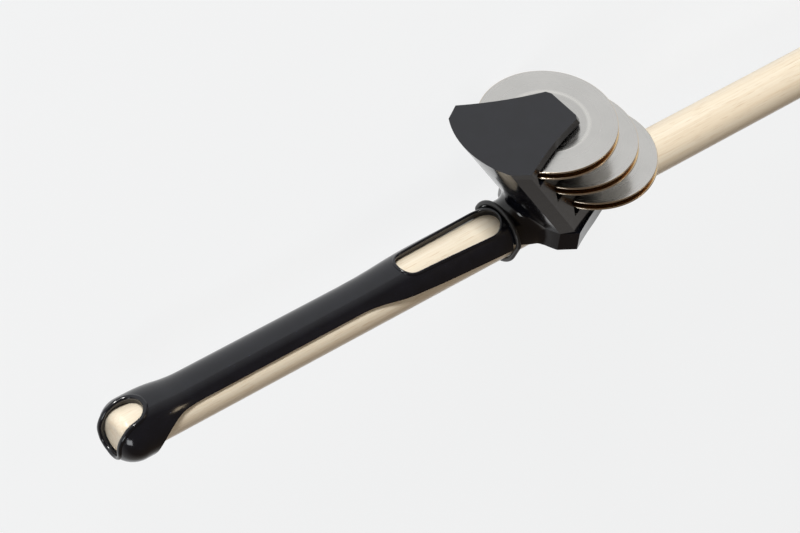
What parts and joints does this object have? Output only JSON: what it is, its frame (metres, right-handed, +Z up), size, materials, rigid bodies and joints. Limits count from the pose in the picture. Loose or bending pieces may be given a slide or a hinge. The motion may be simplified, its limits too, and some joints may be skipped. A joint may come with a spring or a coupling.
{
  "type": "stick tambourine",
  "caption": "Stick tambourine: a wooden drumstick held in a black plastic clip-on handle whose raked comb head carries pairs of steel jingles on a pin, tied with a rubber ring.",
  "frame": {"origin": "on the ground under the middle of the part's box, with the jingle rims touching the ground", "axes": "+X along the drumstick from its butt to its tip, +Y from the stick towards the head's top plate, +Z up across the stick"},
  "size_m": [0.4077, 0.0518, 0.041],
  "materials": {
    "holder_plastic": "glossy black moulded plastic",
    "stick_wood": "satin lacquered pale hardwood",
    "ring_rubber": "matt black rubber",
    "pin_steel": "plain steel wire",
    "jingle_steel": "nickel-plated pressed sheet"
  },
  "bodies": {
    "stick_and_holder": {"holder": "holder_plastic", "drumstick": "stick_wood", "retaining_ring": "ring_rubber", "jingle_pin": "pin_steel"},
    "jingle_1_lower": {"jingle_1_lower": "jingle_steel"},
    "jingle_1_upper": {"jingle_1_upper": "jingle_steel"},
    "jingle_2_lower": {"jingle_2_lower": "jingle_steel"},
    "jingle_2_upper": {"jingle_2_upper": "jingle_steel"},
    "jingle_3_lower": {"jingle_3_lower": "jingle_steel"},
    "jingle_3_upper": {"jingle_3_upper": "jingle_steel"}
  },
  "joints": [
    {"name": "jingle_1_lower_slide", "type": "slide", "parent": "stick_and_holder", "child": "jingle_1_lower", "axis": [-0.6476, 0.7619, 0], "range_m": [-0.0006, 0]},
    {"name": "jingle_1_upper_slide", "type": "slide", "parent": "stick_and_holder", "child": "jingle_1_upper", "axis": [-0.6476, 0.7619, 0], "range_m": [0, 0.0006]},
    {"name": "jingle_2_lower_slide", "type": "slide", "parent": "stick_and_holder", "child": "jingle_2_lower", "axis": [-0.6476, 0.7619, 0], "range_m": [-0.0006, 0]},
    {"name": "jingle_2_upper_slide", "type": "slide", "parent": "stick_and_holder", "child": "jingle_2_upper", "axis": [-0.6476, 0.7619, 0], "range_m": [0, 0.0006]},
    {"name": "jingle_3_lower_slide", "type": "slide", "parent": "stick_and_holder", "child": "jingle_3_lower", "axis": [-0.6476, 0.7619, 0], "range_m": [-0.0006, 0]},
    {"name": "jingle_3_upper_slide", "type": "slide", "parent": "stick_and_holder", "child": "jingle_3_upper", "axis": [-0.6476, 0.7619, 0], "range_m": [0, 0.0006]}
  ]
}
